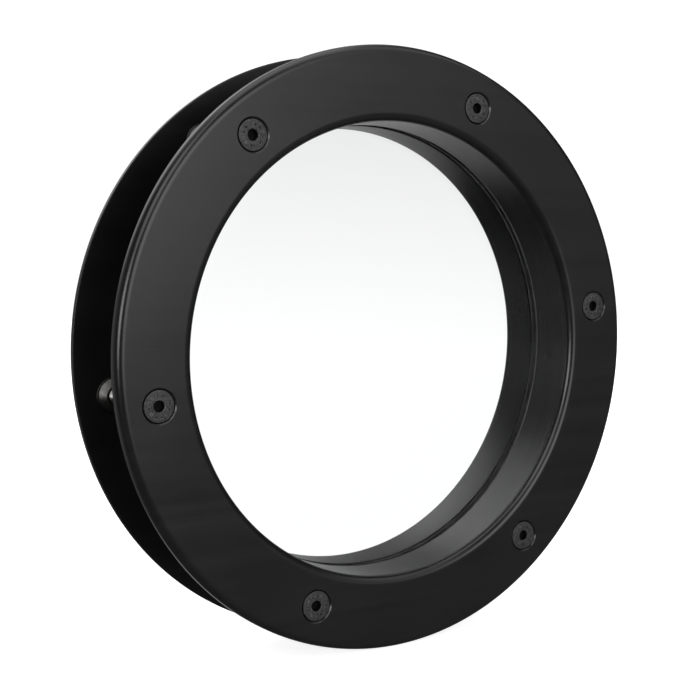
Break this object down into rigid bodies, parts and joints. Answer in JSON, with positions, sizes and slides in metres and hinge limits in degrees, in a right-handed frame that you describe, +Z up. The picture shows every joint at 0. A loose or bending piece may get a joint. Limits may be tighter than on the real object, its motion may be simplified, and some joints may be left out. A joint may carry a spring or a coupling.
{
  "type": "porthole window",
  "caption": "Round fixed porthole for a door leaf: two black flanged collars, drawn together by countersunk hex-socket screws, clamp a clear glass pane.",
  "frame": {"origin": "middle of the unit, on its axis: half way between the two show faces and at the centre of the sight opening", "axes": "Y runs along the porthole's axis, with the screwed front flange facing -Y and the rear flange facing +Y; +Z is up and +X is to the right as seen from the front"},
  "size_m": [0.3, 0.058, 0.3],
  "materials": {
    "black_flange": "satin black coat over fine brushed metal",
    "black_collar": "satin black coat",
    "black_screw": "black oxide on the head, bright steel thread",
    "bright_boss": "turned steel, bright",
    "clear_glass": "clear float glass",
    "black_rubber": "matt black rubber"
  },
  "bodies": {
    "rear_half": {"rear_flange": "black_flange", "rear_collar": "black_collar", "glass_pane": "clear_glass", "rear_glass_gasket": "black_rubber", "rear_door_seal": "black_rubber", "boss_1": "bright_boss", "boss_2": "bright_boss", "boss_3": "bright_boss", "boss_4": "bright_boss", "boss_5": "bright_boss", "boss_6": "bright_boss"},
    "front_half": {"front_flange": "black_flange", "front_collar": "black_collar", "front_glass_gasket": "black_rubber", "front_door_seal": "black_rubber"},
    "screw_body_1": {"screw_1": "black_screw"},
    "screw_body_2": {"screw_2": "black_screw"},
    "screw_body_3": {"screw_3": "black_screw"},
    "screw_body_4": {"screw_4": "black_screw"},
    "screw_body_5": {"screw_5": "black_screw"},
    "screw_body_6": {"screw_6": "black_screw"}
  },
  "joints": [
    {"name": "front_half_slide", "type": "slide", "parent": "rear_half", "child": "front_half", "axis": [0, -1, 0], "range_m": [0, 0.005]},
    {"name": "screw_1_turn", "type": "hinge", "parent": "front_half", "child": "screw_body_1", "pos_m": [0.12966, 0, 0.01868], "axis": [0, -1, 0], "range_deg": [0, 1441]},
    {"name": "screw_2_turn", "type": "hinge", "parent": "front_half", "child": "screw_body_2", "pos_m": [0.04865, 0, 0.12163], "axis": [0, -1, 0], "range_deg": [0, 1441]},
    {"name": "screw_3_turn", "type": "hinge", "parent": "front_half", "child": "screw_body_3", "pos_m": [-0.08101, 0, 0.10295], "axis": [0, -1, 0], "range_deg": [0, 1441]},
    {"name": "screw_4_turn", "type": "hinge", "parent": "front_half", "child": "screw_body_4", "pos_m": [-0.12966, 0, -0.01868], "axis": [0, -1, 0], "range_deg": [0, 1441]},
    {"name": "screw_5_turn", "type": "hinge", "parent": "front_half", "child": "screw_body_5", "pos_m": [-0.04865, 0, -0.12163], "axis": [0, -1, 0], "range_deg": [0, 1441]},
    {"name": "screw_6_turn", "type": "hinge", "parent": "front_half", "child": "screw_body_6", "pos_m": [0.08101, 0, -0.10295], "axis": [0, -1, 0], "range_deg": [0, 1441]}
  ],
  "couplings": [
    {"joint": "screw_1_turn", "follows": "front_half_slide", "rad_per_m": 5026.5},
    {"joint": "screw_2_turn", "follows": "front_half_slide", "rad_per_m": 5026.5},
    {"joint": "screw_3_turn", "follows": "front_half_slide", "rad_per_m": 5026.5},
    {"joint": "screw_4_turn", "follows": "front_half_slide", "rad_per_m": 5026.5},
    {"joint": "screw_5_turn", "follows": "front_half_slide", "rad_per_m": 5026.5},
    {"joint": "screw_6_turn", "follows": "front_half_slide", "rad_per_m": 5026.5}
  ]
}
